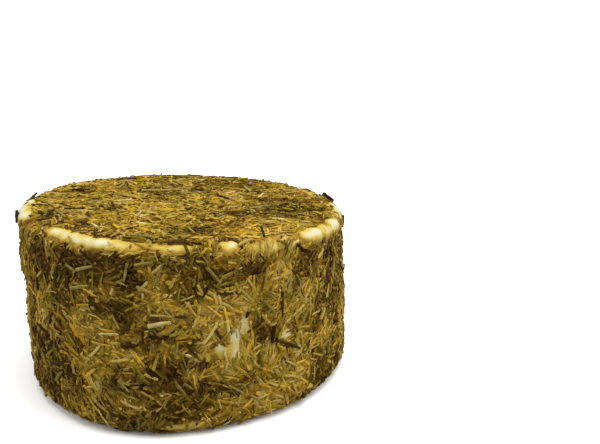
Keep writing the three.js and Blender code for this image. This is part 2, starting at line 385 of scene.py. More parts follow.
topPatches = (
    (90.0, 30.0, 40, 17, 0.10, 0.46), (235.0, 24.0, 22, 16, 0.20, 0.78),
    (250.5, 33.1, 4.6, 3.6, 0.55, 1.00), (221.8, 15.7, 7.0, 6.0, 0.45, 0.95),
    (265.3, 24.9, 4.6, 4.6, 0.35, 0.90), (290.0, 26.2, 4.8, 4.4, 0.50, 1.00),
    (271.7, 35.3, 4.4, 4.4, 0.20, 0.15), (91.7, 32.7, 6.0, 6.0, 0.45, 0.70),
    (158.2, 36.4, 5.0, 4.0, 0.10, 0.00), (203.5, 26.0, 5.0, 5.0, 0.10, 0.30),
    (359.2, 30.0, 6.0, 5.0, 0.10, 0.20), (205.0, 42.5, 3.0, 2.4, 0.10, 0.00),
    (185.0, 38.0, 5.0, 4.0, 0.40, 0.85), (315.0, 40.0, 5.0, 4.0, 0.30, 0.90),
    (40, 20, 8, 7, 0.4, 0.8), (130, 18, 7, 7, 0.3, 0.3),
)


def coatAt(radius, height, angle, here):
    # how thin the coat is and how golden, both from 0 to 1
    rim = outlineEnds()[0]
    onTop = (radius < rim) & (height > 0.5 * drumForm["height"])
    onBase = (radius < rim) & (height < 1)
    # the top's coat is a little more golden, painted light from above, and the base's much darker, painted shade
    # under the cheese
    tone = 0.5 + 0.20 * fieldAt(toneField, here) + 0.09 * onTop - 0.3 * onBase
    thin = 0.35 * smoothStep(0.4, 1.4, fieldAt(thinField, here))
    x, y = radius * np.cos(angle), radius * np.sin(angle)
    for turn, far, halfWidth, halfHeight, open_, golden in topPatches:
        turned = math.radians(turn)
        around = -x * math.sin(turned) + y * math.cos(turned)
        along = x * math.cos(turned) + y * math.sin(turned) - far
        share = (1 - smoothStep(0.5, 1.3, np.hypot(around / halfWidth, along / halfHeight))) * onTop
        thin = thin + (open_ - thin) * share
        tone = tone + (golden - tone) * share
    for patch in sidePatches:
        share = spotShare(patch, radius, height, angle) * ~onTop
        thin = thin + (patch[4] - thin) * share
        tone = tone + (patch[5] - tone) * share
    tone = tone + 0.16 * fieldAt(fineField, here)
    return np.clip(thin, 0, 1), np.clip(tone, 0, 1)


# Materials
cheeseLook = {
    "ivory": "#bebb9d", "cream": "#b59d49", "oil": "#93731f", "brown": "#62460d",
    "bedDustAndShade": "#251602", "bedMid": "#5e430b", "bedGold": "#917020",
    "roughness": 0.6,
    "curdGrain": 1.1,      # size of the curd's soft grain
    "crumbSize": 0.6,      # herb dust and crumbs under the needles
}


def cheesePaste(look):
    # fresh goat cheese, ladled curd that was drained and rolled in herbs: a matt ivory paste that light enters a
    # little, yellow with herb oil near the coat, and dusted with herb crumbs below it, kept dark there as painted
    # shade between the needles
    material, tree = startMaterial("freshGoatCheese")
    place = addNode(tree, "ShaderNodeTexCoord").outputs["Object"]
    bare = addNode(tree, "ShaderNodeAttribute", attribute_name="bareShare").outputs["Fac"]
    stain = addNode(tree, "ShaderNodeAttribute", attribute_name="oilStain").outputs["Fac"]
    golden = addNode(tree, "ShaderNodeAttribute", attribute_name="bedTone").outputs["Fac"]
    blotch = addNode(tree, "ShaderNodeTexNoise", {
        "Vector": place, "Scale": 1 / (4.5 * mm), "Detail": 3, "Roughness": 0.55})
    fleck = addNode(tree, "ShaderNodeTexNoise", {
        "Vector": place, "Scale": 1 / (0.8 * mm), "Detail": 2, "Roughness": 0.6})
    grain = addNode(tree, "ShaderNodeTexNoise", {
        "Vector": place, "Scale": 1 / (look["curdGrain"] * mm), "Detail": 4, "Roughness": 0.62})
    # the stain's edge wanders with the blotches
    wander = addNode(tree, "ShaderNodeMath", {0: blotch.outputs["Fac"], 1: 0.5}, operation="SUBTRACT")
    spread = addNode(tree, "ShaderNodeMath", {0: wander.outputs[0], 1: 0.35, 2: stain},
                     operation="MULTIPLY_ADD")
    paste = addNode(tree, "ShaderNodeValToRGB", {"Fac": spread.outputs[0]}, ramp=(
        (0.0, look["ivory"]), (0.28, look["cream"]), (0.58, look["oil"]), (0.95, look["brown"])))
    # herb dust and crumbs pressed in, each with its own tone, darkened as painted shade in the gaps between the
    # needles, and following the coat's tone
    crumbs = addNode(tree, "ShaderNodeTexVoronoi", {
        "Vector": place, "Scale": 1 / (look["crumbSize"] * mm), "Randomness": 1.0})
    tone = addNode(tree, "ShaderNodeSeparateColor", {"Color": crumbs.outputs["Color"]})
    mixed = addNode(tree, "ShaderNodeMath", {0: tone.outputs["Red"], 1: 0.7, 2: wander.outputs[0]},
                    operation="MULTIPLY_ADD")
    mixed = addNode(tree, "ShaderNodeMath", {0: golden, 1: 0.75, 2: mixed.outputs[0]},
                    operation="MULTIPLY_ADD")
    bed = addNode(tree, "ShaderNodeValToRGB", {"Fac": mixed.outputs[0]}, ramp=(
        (0.2, look["bedDustAndShade"]), (0.6, look["bedMid"]), (1.0, look["bedGold"])))
    # the coat's edge is broken up by crumbs
    edge = addNode(tree, "ShaderNodeMath", {0: fleck.outputs["Fac"], 1: 0.5}, operation="SUBTRACT")
    ragged = addNode(tree, "ShaderNodeMath", {0: edge.outputs[0], 1: 1.1, 2: bare},
                     operation="MULTIPLY_ADD")
    cover = addNode(tree, "ShaderNodeMapRange", {
        "Value": ragged.outputs[0], "From Min": 0.25, "From Max": 0.7}, interpolation_type="SMOOTHSTEP")
    colour = addNode(tree, "ShaderNodeMix", {
        "Factor": cover.outputs["Result"], 6: bed.outputs["Color"], 7: paste.outputs["Color"]},
        data_type="RGBA")
    relief = addNode(tree, "ShaderNodeMix", {
        "Factor": cover.outputs["Result"], 2: crumbs.outputs["Distance"], 3: grain.outputs["Fac"]},
        data_type="FLOAT")
    soft = addNode(tree, "ShaderNodeBump", {
        "Height": relief.outputs[0], "Distance": 0.25 * mm, "Strength": 0.25})
    shader = addNode(tree, "ShaderNodeBsdfPrincipled", {
        "Base Color": colour.outputs[2], "Roughness": look["roughness"], "IOR": 1.42,
        "Specular IOR Level": 0.12, "Subsurface Weight": 0.2, "Subsurface Radius": (1.0, 0.7, 0.35),
        "Subsurface Scale": 1.2 * mm, "Normal": soft.outputs["Normal"]})
    finishMaterial(tree, shader)
    return material


def driedHerb(name, tones, roughness=0.7, shine=0.08):
    # rosemary, air dried and rubbed: leathery and dull, each piece with its own tone, with painted shade darkening
    # the groove along its middle, and with fine pale streaks that are partly painted highlights
    material, tree = startMaterial(name)
    tint = addNode(tree, "ShaderNodeAttribute", attribute_name="herbTint").outputs["Fac"]
    herbUv = addNode(tree, "ShaderNodeUVMap", uv_map="herbUv").outputs["UV"]
    across = addNode(tree, "ShaderNodeSeparateXYZ", {"Vector": herbUv})
    place = addNode(tree, "ShaderNodeTexCoord").outputs["Object"]
    mottle = addNode(tree, "ShaderNodeTexNoise", {
        "Vector": place, "Scale": 1 / (1.2 * mm), "Detail": 3, "Roughness": 0.65})
    # streaks run along the piece, the pale ones partly painted highlights: the UV is in millimetres, squeezed
    # along the length
    squeezed = addNode(tree, "ShaderNodeMapping", {"Vector": herbUv, "Scale": (6.0, 0.8, 1.0)})
    streaks = addNode(tree, "ShaderNodeTexNoise", {
        "Vector": squeezed.outputs["Vector"], "Scale": 1.0, "Detail": 2, "Roughness": 0.5})
    blend = addNode(tree, "ShaderNodeMath", {0: mottle.outputs["Fac"], 1: 0.5}, operation="SUBTRACT")
    blend = addNode(tree, "ShaderNodeMath", {0: blend.outputs[0], 1: 0.9, 2: tint}, operation="MULTIPLY_ADD")
    streak = addNode(tree, "ShaderNodeMath", {0: streaks.outputs["Fac"], 1: 0.5}, operation="SUBTRACT")
    streak = addNode(tree, "ShaderNodeMath", {0: streak.outputs[0], 1: 0.7, 2: blend.outputs[0]},
                     operation="MULTIPLY_ADD")
    last = len(tones) - 1
    colour = addNode(tree, "ShaderNodeValToRGB", {"Fac": streak.outputs[0]},
                     ramp=tuple((i / last, tone) for i, tone in enumerate(tones)))
    # painted shade in the groove along the upper middle, which is about half as wide as the needle
    groove = addNode(tree, "ShaderNodeMapRange", {
        "Value": across.outputs["X"], "From Min": 0.0, "From Max": 0.22, "To Min": 0.6, "To Max": 1.0})
    shaded = addNode(tree, "ShaderNodeMix", {
        "Factor": 1.0, 6: colour.outputs["Color"], 7: groove.outputs["Result"]},
        data_type="RGBA", blend_type="MULTIPLY")
    ridges = addNode(tree, "ShaderNodeBump", {
        "Height": streaks.outputs["Fac"], "Distance": 0.08 * mm, "Strength": 0.6})
    shader = addNode(tree, "ShaderNodeBsdfPrincipled", {
        "Base Color": shaded.outputs[2], "Roughness": roughness, "IOR": 1.45,
        "Specular IOR Level": shine, "Normal": ridges.outputs["Normal"]})
    finishMaterial(tree, shader)
    return material


# The cheese itself
cheeseCuts = {
    "sides": 320,
    "sideRings": 58,
    "rimSteps": 11,
    "footSteps": 6,
    "topInsets": (0.7, 0.7, 0.7, 0.8, 0.8, 0.9, 1.0, 1.2, 1.6, 2.2, 3, 4, 5, 6, 7, 8),
    "baseInsets": (2, 6, 12, 14),
}


def cutDrum(form, cuts):
    # a cylinder with its edges bevelled round, its side cut into rings and its caps inset
    radius, height = form["radius"] * mm, form["height"] * mm
    deselectAll()
    bpy.ops.mesh.primitive_cylinder_add(vertices=cuts["sides"], radius=radius, depth=height,
                                        end_fill_type="NGON", location=(0, 0, height / 2))
    cheese = bpy.context.object
    cheese.name = cheese.data.name = "goatCheese"
    bpy.ops.object.transform_apply(location=True)
    bpy.ops.object.mode_set(mode="EDIT")
    for level, offset, steps in ((height, form["topRound"], cuts["rimSteps"]),
                                 (0, form["bottomRound"], cuts["footSteps"])):
        pick(cheese, "EDGE", lambda e: all(abs(v.co.z - level) < 1e-6 for v in e.verts))
        bpy.ops.mesh.bevel(offset=offset * mm, segments=steps, profile=0.5, affect="EDGES")
    pick(cheese, "EDGE", lambda e: abs(e.verts[0].co.z - e.verts[1].co.z) > 0.5 * height)
    bpy.ops.mesh.subdivide(number_cuts=cuts["sideRings"])
    for level, insets in ((height, cuts["topInsets"]), (0, cuts["baseInsets"])):
        def isCap(face):
            return len(face.verts) > 4 and abs(face.verts[0].co.z - level) < 1e-6
        for step in insets:
            pick(cheese, "FACE", isCap)
            bpy.ops.mesh.inset(thickness=step * mm, use_boundary=True)
        pick(cheese, "FACE", isCap)
        bpy.ops.mesh.poke()
    bpy.ops.object.mode_set(mode="OBJECT")
    return cheese


def pressRelief(cheese, name, grain, depth, strength, group):
    # soft lumps or dents from a cloud texture on the cheese's own coordinates
    texture = bpy.data.textures.new(name, "CLOUDS")
    texture.noise_scale = grain * mm
    texture.noise_depth = depth
    applyModifier(cheese, "DISPLACE", texture=texture, texture_coords="LOCAL",
                  strength=strength * mm, mid_level=0.5, vertex_group=group)


def makeCheese(form, cuts):
    cheese = cutDrum(form, cuts)
    # settle the plain drum into its uneven shape, with the bare rim swelling out
    points = getPoints(cheese) / mm
    r, a, z = np.hypot(points[:, 0], points[:, 1]), np.arctan2(points[:, 1], points[:, 0]), points[:, 2]
    bare, stain = bareAt(r, z, a)
    settled = settle(r, z, a)
    thin, tone = coatAt(r, z, a, settled)
    onRim = bare * (z > form["height"] - 8)
    out = np.stack([np.cos(a) * 0.75, np.sin(a) * 0.75, np.full_like(a, 0.45)], -1)
    settled += out * swellAt(r, z, a)[:, None]
    setPoints(cheese, settled * mm)
    setAttribute(cheese.data, "bareShare", bare)
    setAttribute(cheese.data, "oilStain", stain)
    setAttribute(cheese.data, "bedTone", tone)
    for name, weights in (("bareRim", onRim), ("underHerbs", 1 - onRim)):
        group = cheese.vertex_groups.new(name=name)
        for i in np.nonzero(weights > 0.05)[0]:
            group.add([int(i)], float(weights[i]), "REPLACE")
    pressRelief(cheese, "curdLumps", 6.0, 1, 0.3, "bareRim")
    pressRelief(cheese, "herbDents", 1.7, 2, 0.4, "underHerbs")
    points = getPoints(cheese)
    points[:, 2] = np.maximum(points[:, 2], 0.2 * mm)
    setPoints(cheese, points)
    makeActive(cheese)
    bpy.ops.object.shade_smooth()
    cheese.data.materials.append(cheesePaste(cheeseLook))
    return cheese


cheese = makeCheese(drumForm, cheeseCuts)
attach(cheese, "root")
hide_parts("goat_cheese")
print("cheese ready:", len(cheese.data.polygons), "faces")


# Herb pieces: each shape is modelled once, then copied in joined meshes
shapeDraw = np.random.default_rng(4901)


def roundRod(length, width, thick, sides, rings):
    # a rod along X cut into rings, the outer ones moved towards its ends
    deselectAll()
    bpy.ops.mesh.primitive_cylinder_add(vertices=sides, radius=0.5 * mm, depth=length * mm, calc_uvs=False,
                                        end_fill_type="NGON", rotation=(0, math.pi / 2, 0))
    rod = bpy.context.object
    bpy.ops.object.transform_apply(rotation=True)
    bpy.ops.object.mode_set(mode="EDIT")
    pick(rod, "EDGE", lambda e: abs(e.verts[0].co.x - e.verts[1].co.x) > 0.5 * length * mm)
    bpy.ops.mesh.subdivide(number_cuts=rings)
    bpy.ops.mesh.select_all(action="SELECT")
    bpy.ops.transform.resize(value=(1, width, thick))
    outer = (rings - 1) / (rings + 1) * 0.5 * length * mm
    if rings > 1:
        pick(rod, "VERT", lambda v: abs(abs(v.co.x) - outer) < 0.02 * length * mm)
        bpy.ops.transform.resize(value=(0.39 * length * mm / outer, 1, 1), center_override=(0, 0, 0))
    return rod


def giveUv(piece, width):
    # across the piece in X, 0 along its upper middle, and along it in Y, both in millimetres
    layer = piece.data.uv_layers.new(name="herbUv")
    for loop in piece.data.loops:
        co = piece.data.vertices[loop.vertex_index].co
        corner = math.atan2(co.z, co.y)
        layer.data[loop.index].uv = (abs(corner - math.pi / 2) / math.pi * width, co.x / mm + 20)


def needleShape(length=4.8, width=0.9, thick=0.5, bow=0.1, curl=0.1, twist=0, sides=6, rings=2,
                tips=(0.6, 0.7), groove=1.0):
    rod = roundRod(length, width, thick, sides, rings)
    ends = 0.49 * length * mm
    for side, shrink in zip((1, -1), tips):
        pick(rod, "VERT", lambda v: v.co.x * side > ends)
        bpy.ops.transform.resize(value=(1, shrink, 0.75), center_override=(side * ends, 0, 0))
    if groove < 1:
        # the middle rows sink towards each other, between the rolled edges
        pick(rod, "VERT", lambda v: abs(v.co.y) < 0.1 * width * mm and abs(v.co.x) < ends)
        bpy.ops.transform.resize(value=(1, 1, groove), center_override=(0, 0, 0))
    bpy.ops.object.mode_set(mode="OBJECT")
    giveUv(rod, width)
    # bow, curl, twist and a little shrivelling
    points = getPoints(rod) / mm
    along = points[:, 0] / (0.5 * length)
    points[:, 1] += bow * (1 - along ** 2)
    points[:, 2] += curl * (0.6 - along ** 2)
    turn = np.radians(twist) * along
    y, z = points[:, 1].copy(), points[:, 2].copy()
    points[:, 1], points[:, 2] = y * np.cos(turn) - z * np.sin(turn), y * np.sin(turn) + z * np.cos(turn)
    points += shapeDraw.normal(size=points.shape) * 0.035 * width
    setPoints(rod, points * mm)
    return rod


def crumbShape(size, flat):
    # a broken bit of leaf or bark
    deselectAll()
    bpy.ops.mesh.primitive_ico_sphere_add(subdivisions=1, radius=0.5 * size * mm, calc_uvs=False)
    crumb = bpy.context.object
    bpy.ops.object.mode_set(mode="EDIT")
    bpy.ops.mesh.select_all(action="SELECT")
    bpy.ops.transform.resize(value=(1.3, 0.8, flat))
    bpy.ops.object.mode_set(mode="OBJECT")
    giveUv(crumb, size)
    setPoints(crumb, getPoints(crumb) + shapeDraw.normal(size=(12, 3)) * 0.12 * size * mm)
    return crumb


def stemShape():
    # a length of woody twig, one unit long and wide, knobbly and cut square
    stem = roundRod(1.0, 1.0, 1.0, 9, 6)
    bpy.ops.object.mode_set(mode="EDIT")
    pick(stem, "FACE", lambda f: len(f.verts) > 4)
    bpy.ops.mesh.inset(thickness=0.12 * mm, use_individual=True)
    pick(stem, "FACE", lambda f: len(f.verts) > 4)
    bpy.ops.transform.resize(value=(0.97, 0.9, 0.9), center_override=(0, 0, 0))
    bpy.ops.object.mode_set(mode="OBJECT")
    giveUv(stem, 1.0)
    points = getPoints(stem)
    along = points[:, 0] / (0.5 * mm)
    swell = 1 - 0.14 * along + 0.10 * np.sin(along * 4.5 + 1) + shapeDraw.normal(size=len(points)) * 0.04
    points[:, 1:] *= swell[:, None]
    points[:, 1] += 0.06 * mm * (1 - along ** 2)
    setPoints(stem, points)
    return stem


def fibreShape(length, width, wave):
    # a thin thread of bark or stalk
    fibre = roundRod(length, width, width, 4, 5)
    bpy.ops.object.mode_set(mode="OBJECT")
    giveUv(fibre, width)
    points = getPoints(fibre) / mm
    along = points[:, 0] / (0.5 * length)
    points[:, 1] += wave * (1 - along ** 2) + 0.3 * wave * np.sin(along * 4)
    points[:, 2] += 0.25 * wave * (1 - along ** 2)
    setPoints(fibre, points * mm)
    return fibre


def takeShape(piece):
    # a modelled shape as arrays, and the object it came from is removed
    mesh = piece.data
    loops = np.empty(len(mesh.loops), np.int32)
    mesh.loops.foreach_get("vertex_index", loops)
    starts = np.empty(len(mesh.polygons), np.int32)
    mesh.polygons.foreach_get("loop_start", starts)
    totals = np.empty(len(mesh.polygons), np.int32)
    mesh.polygons.foreach_get("loop_total", totals)
    uv = np.empty(len(mesh.loops) * 2, np.float32)
    mesh.uv_layers["herbUv"].data.foreach_get("uv", uv)
    points = getPoints(piece)
    shape = {"points": points, "loops": loops, "starts": starts, "totals": totals,
             "uv": uv.reshape(-1, 2), "length": np.ptp(points[:, 0]) / mm}
    bpy.data.objects.remove(piece)
    return shape


def joinCopies(name, shapes, picks, places, tints, material):
    # one mesh of many copies: picks says which shape, places is a 3x4 matrix for each copy
    points, loops, starts, totals, uvs, tintList = [], [], [], [], [], []
    pointCount = loopCount = 0
    for index, shape in enumerate(shapes):
        chosen = np.nonzero(picks == index)[0]
        if not len(chosen):
            continue
        n, v, l = len(chosen), len(shape["points"]), len(shape["loops"])
        rotation, shift = places[chosen][:, :, :3], places[chosen][:, :, 3]
        moved = np.einsum("nij,vj->nvi", rotation, shape["points"]) + shift[:, None, :]
        points.append(moved.reshape(-1, 3))
        loops.append((shape["loops"][None, :] + (pointCount + np.arange(n) * v)[:, None]).ravel())
        starts.append((shape["starts"][None, :] + (loopCount + np.arange(n) * l)[:, None]).ravel())
        totals.append(np.tile(shape["totals"], n))
        uvShift = np.stack([np.zeros(n), tints[chosen] * 997 % 50], -1)
        uvs.append((shape["uv"][None, :, :] + uvShift[:, None, :]).reshape(-1, 2))
        tintList.append(np.repeat(tints[chosen], v))
        pointCount += n * v
        loopCount += n * l
    mesh = bpy.data.meshes.new(name)
    mesh.vertices.add(pointCount)
    mesh.vertices.foreach_set("co", np.concatenate(points).astype(np.float32).ravel())
    mesh.loops.add(loopCount)
    mesh.loops.foreach_set("vertex_index", np.concatenate(loops).astype(np.int32))
    allStarts = np.concatenate(starts).astype(np.int32)
    allTotals = np.concatenate(totals).astype(np.int32)
    mesh.polygons.add(len(allStarts))
    mesh.polygons.foreach_set("loop_start", allStarts)
    mesh.polygons.foreach_set("loop_total", allTotals)
    layer = mesh.uv_layers.new(name="herbUv")
    layer.data.foreach_set("uv", np.concatenate(uvs).astype(np.float32).ravel())
    mesh.update()
    mesh.validate()
    setAttribute(mesh, "herbTint", np.concatenate(tintList))
    mesh.materials.append(material)
    piece = bpy.data.objects.new(name, mesh)
    bpy.context.scene.collection.objects.link(piece)
    makeActive(piece)
    bpy.ops.object.shade_smooth_by_angle(angle=math.radians(50))
    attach(piece, "root")
    print(name, "ready:", len(picks), "copies,", int((allTotals - 2).sum()), "triangles")
    return piece


# Where the herbs lie. Ways that the needles lie on the side, as seen from outside: angle, height,
# size, heading in degrees from level, turning up to the right
layTable = (
    (205, 34, 14, 88), (200, 14, 12, 78), (214, 44, 8, 84), (232, 28, 10, -42), (240, 12, 9, -58),
    (268, 45, 6, 90), (250, 44, 6, 20), (246, 33, 7, -30), (258, 20, 8, -62), (272, 12, 8, -50),
    (282, 24, 6, 88), (290, 42, 7, 60), (302, 30, 8, 45), (296, 12, 8, -35), (316, 38, 10, 65),
    (326, 18, 10, 30), (225, 40, 7, 55), (262, 5, 6, 10), (340, 28, 14, 86), (20, 30, 14, -40),
    (60, 20, 14, 70), (95, 35, 14, 10), (135, 22, 14, -60), (165, 34, 12, 80),
)

coatLook = {
    "seed": 4900,
    "wander": 24,           # degrees that a needle strays from its patch's way
    "freeShare": 0.36,      # share of needles that lie any way at all
    "topReach": 3.4,        # needles on the top start this far out over the rim's turn
    "crossing": 0.015,      # share of needles that lie across the bare rim
}

# The kinds of herb: tones from dark to light, and where each stands from dark (0) to golden (1)
herbKinds = {
    "brownNeedles": {"tones": ("#2a1802", "#472f05", "#68490c", "#85641a"), "share": 0.22},
    "oliveNeedles": {"tones": ("#3b2d03", "#60500a", "#826f17", "#9c882b"), "share": 0.24},
    "khakiNeedles": {"tones": ("#48380b", "#6f591e", "#8d7534", "#a58d49"), "share": 0.22},
    # pale needles lie underside up; their light tones are partly painted highlights, in place of the needles' weak
    # sheen
    "paleNeedles": {"tones": ("#675415", "#8d762f", "#ab944b", "#c0ac69"), "share": 0.12},
    "strawNeedles": {"tones": ("#5a4106", "#856410", "#a6821f", "#bd9b3a"), "share": 0.20},
}

needleShapes = (
    dict(length=4.2, width=0.78, thick=0.42, bow=0.12, curl=0.10, twist=8),
    dict(length=4.9, width=0.70, thick=0.38, bow=-0.16, curl=0.12, twist=-8, rings=3),
    dict(length=3.0, width=0.76, thick=0.42, bow=0.05, curl=0.04, twist=5),
    dict(length=3.6, width=0.54, thick=0.34, bow=0.12, curl=0.08, twist=0),
    dict(length=4.4, width=0.92, thick=0.42, bow=0.10, curl=0.12, twist=6, sides=8, groove=0.35),
    dict(length=3.6, width=0.84, thick=0.44, bow=-0.12, curl=0.06, twist=-6, sides=8, groove=0.35),
    dict(length=5.6, width=0.72, thick=0.38, bow=0.30, curl=0.14, twist=10, sides=8, rings=3, groove=0.4),
    dict(length=2.0, width=0.70, thick=0.40, bow=0.0, curl=0.0, twist=0, sides=5, rings=1, tips=(0.8, 0.8)),
    dict(length=1.3, width=0.60, thick=0.36, bow=0.0, curl=0.0, twist=0, sides=5, rings=1, tips=(0.8, 0.7)),
    dict(length=2.6, width=0.42, thick=0.30, bow=0.10, curl=0.04, twist=0, sides=5, rings=1, tips=(0.5, 0.6)),
)

# Layers of the coat, from the cheese outwards: needles on the side, top and base, how high they
# lie, how far they tip up, which shapes they take, and their length and width
coatLayers = (
    {"side": 4500, "top": 2450, "base": 1400, "height": -0.04, "tilt": 3, "shapes": (0, 1, 2, 3, 3, 5),
     "length": (0.75, 1.1), "width": (0.75, 1.1), "thinned": 0.2},
    {"side": 3300, "top": 1900, "base": 0, "height": 0.18, "tilt": 5, "shapes": (0, 1, 2, 3, 4, 5, 6),
     "length": (0.75, 1.15), "width": (0.75, 1.1), "thinned": 0.95},
    {"side": 4200, "top": 2200, "base": 200, "height": 0.16, "tilt": 8, "shapes": (7, 8, 9),
     "length": (0.7, 1.2), "width": (0.7, 1.15), "thinned": 0.3},
    {"side": 700, "top": 420, "base": 0, "height": 0.42, "tilt": 8, "shapes": (0, 1, 3, 4, 6, 9),
     "length": (0.8, 1.2), "width": (0.7, 1.1), "thinned": 0.85},
)


def surfaceFrames(distance, angle):
    # places on the settled drum, with unit directions: round it, up its outline, and out
    step = 0.4
    here = settle(*profilePlace(distance), angle)
    upward = settle(*profilePlace(distance - step), angle) - settle(*profilePlace(distance + step), angle)
    turn = step / profilePlace(distance)[0]
    around = settle(*profilePlace(distance), angle + turn) - settle(*profilePlace(distance), angle - turn)
    upward /= np.linalg.norm(upward, axis=1, keepdims=True)
    around /= np.linalg.norm(around, axis=1, keepdims=True)
    out = np.cross(around, upward)
    out /= np.linalg.norm(out, axis=1, keepdims=True)
    here = here + 0.8 * swellAt(*profilePlace(distance), angle)[:, None] * out
    return here, around, upward, out


def outlineDistance(height, form=drumForm):
    # how far along the outline a height on the side lies
    rim, side, foot, base = outlineEnds()
    below = max(0.0, form["height"] - height)
    if below < form["topRound"]:
        return rim + form["topRound"] * math.acos(1 - below / form["topRound"])
    if height < form["bottomRound"]:
        return foot + form["bottomRound"] * math.asin(1 - height / form["bottomRound"])
    return side + below - form["topRound"]


def spreadPlaces(random, count, low, high, jitter=0.6):
    # evenly spread places between two distances along the outline, by a golden-angle spiral
    grid = np.linspace(low, high, 400)
    radius = profilePlace(grid)[0]
    area = np.concatenate([[0], np.cumsum((radius[1:] + radius[:-1]) * np.diff(grid))])
    share = (np.arange(count) + 0.5 + random.uniform(-0.5, 0.5, count)) / count
    distance = np.interp(share * area[-1], area, grid)
    golden = math.pi * (3 - math.sqrt(5))
    spacing = math.sqrt(area[-1] * math.pi / count)
    angle = np.arange(count) * golden + random.uniform(-1, 1, count) * jitter * spacing / profilePlace(distance)[0]
    distance = distance + random.uniform(-1, 1, count) * jitter * spacing
    return np.clip(distance, low, high), angle % (2 * math.pi)


def zoneSpan(zone):
    # where a zone starts and ends along the outline
    rim, side, foot, base = outlineEnds()
    turned = foot + 0.7 * (base - foot)
    return {"top": (0, rim + coatLook["topReach"]),
            "side": (side - 4.6, turned),
            "base": (turned, base + drumForm["radius"] - drumForm["bottomRound"])}[zone]


def headings(random, here, angle, height, onSide):
    # the way each needle lies, in radians from level
    heading = fieldAt(layField, here) * math.radians(150)
    for turn, level, size, lay in layTable:
        across = np.radians(turnFrom(angle, turn)) * drumForm["radius"]
        far = np.hypot(across, height - level) / size
        share = (1 - smoothStep(0.55, 1.1, far)) * onSide
        heading = np.where(share > random.uniform(0, 1, len(heading)), math.radians(lay), heading)
    heading = heading + random.normal(size=len(heading)) * math.radians(coatLook["wander"])
    free = random.uniform(0, 1, len(heading)) < coatLook["freeShare"]
    return np.where(free, random.uniform(0, math.pi, len(heading)), heading)


def clearOfRim(random, distance, angle, heading, length, soft=0.35):
    # a needle is left out where any of it would lie on bare cheese, less often on stained cheese
    worst = np.zeros(len(distance))
    for end in (-0.5, -0.25, 0, 0.25, 0.5):
        reach = np.clip(distance - end * length * np.sin(heading), 0, None)
        turned = angle + end * length * np.cos(heading) / profilePlace(distance)[0]
        bare, stain = bareAt(*profilePlace(reach), turned, soft)
        worst = np.maximum(worst, bare * (1 - 0.55 * stain))
    stays = random.uniform(0, 1, len(distance)) < coatLook["crossing"]
    return (random.uniform(0.15, 0.85, len(distance)) > worst) | stays


def layMatrices(random, frames, heading, offset, tilt, roll, scale):
    # rotation, scale and place of each copy, in metres
    here, around, upward, out = frames
    along = around * np.cos(heading)[:, None] + upward * np.sin(heading)[:, None]
    along = along * np.cos(tilt)[:, None] + out * np.sin(tilt)[:, None]
    side = np.cross(out, along)
    side /= np.linalg.norm(side, axis=1, keepdims=True)
    normal = np.cross(along, side)
    turnedSide = side * np.cos(roll)[:, None] + normal * np.sin(roll)[:, None]
    turnedNormal = np.cross(along, turnedSide)
    flip = np.where(random.uniform(0, 1, len(heading)) < 0.5, 1.0, -1.0)[:, None]
    rotation = np.stack([along * flip, turnedSide * flip, turnedNormal], -1) * scale[:, None, :]
    place = (here + out * offset[:, None]) * mm
    return np.concatenate([rotation, place[:, :, None]], -1)


def raiseFromTable(places, lengths, halfThick=0.4):
    # none goes below the table
    lowest = places[:, 2, 3] - np.abs(places[:, 2, 0]) * lengths * 0.5 * mm - halfThick * mm
    places[:, 2, 3] += np.maximum(0.03 * mm - lowest, 0)
    return places


def chooseKinds(random, tone):
    # dark kinds gather where the coat is dark, golden ones where it is golden
    shares = np.array([kind["share"] for kind in herbKinds.values()])
    edges = np.cumsum(shares / shares.sum())
    draw = np.clip(random.uniform(0, 1, len(tone)) + (tone - 0.5) * 0.7, 0, 0.9999)
    return np.minimum(np.searchsorted(edges, draw), len(shares) - 1)


def layZone(random, layer, zone, shapes):
    # one layer of needles on the side, top or base
    count = layer[zone]
    distance, angle = spreadPlaces(random, count, *zoneSpan(zone))
    frames = surfaceFrames(distance, angle)
    radius, height = profilePlace(distance)
    heading = headings(random, frames[0], angle, height, np.full(count, zone == "side"))
    pickShape = np.array(layer["shapes"])[random.integers(0, len(layer["shapes"]), count)]
    scale = np.stack([random.uniform(*layer["length"], count), random.uniform(*layer["width"], count),
                      random.uniform(0.85, 1.2, count)], -1)
    lengths = np.array([shape["length"] for shape in shapes])[pickShape] * scale[:, 0]
    thin, tone = coatAt(radius, height, angle, frames[0])
    keep = clearOfRim(random, distance, angle, heading, lengths)
    keep &= random.uniform(0, 1, count) > thin * layer["thinned"]
    flat = 0.3 if zone == "base" else 1.0
    tilt = np.radians(layer["tilt"]) * random.normal(size=count) * 0.6 * flat
    roll = np.radians(16) * random.normal(size=count) * flat
    offset = layer["height"] + random.uniform(-0.12, 0.14, count)
    places = raiseFromTable(layMatrices(random, frames, heading, offset, tilt, roll, scale), lengths)
    kind = chooseKinds(random, tone)
    tint = np.clip(random.uniform(0.12, 0.86, count) + (tone - 0.5) * 0.6, 0, 1)
    return [column[keep] for column in (pickShape, places, tint, kind)]


def makeCoat(random):
    shapes = [takeShape(needleShape(**size)) for size in needleShapes]
    rows = [layZone(random, layer, zone, shapes)
            for layer in coatLayers for zone in ("side", "top", "base") if layer[zone]]
    picks, places, tints, kinds = (np.concatenate(column) for column in zip(*rows))
    for index, (name, kind) in enumerate(herbKinds.items()):
        mine = kinds == index
        material = driedHerb("driedRosemary" + name[0].upper() + name[1:], kind["tones"])
        joinCopies(name, shapes, picks[mine], places[mine], tints[mine], material)


makeCoat(np.random.default_rng(coatLook["seed"]))


# Crumbs of rubbed leaf and bark lie between the needles
crumbLook = {
    "seed": 12,
    "side": 2700, "top": 1500, "base": 250,
    "size": (0.45, 1.3),
    "height": 0.24,
    "tones": ("#2b1d05", "#64490f", "#947620", "#b99a42"),
}


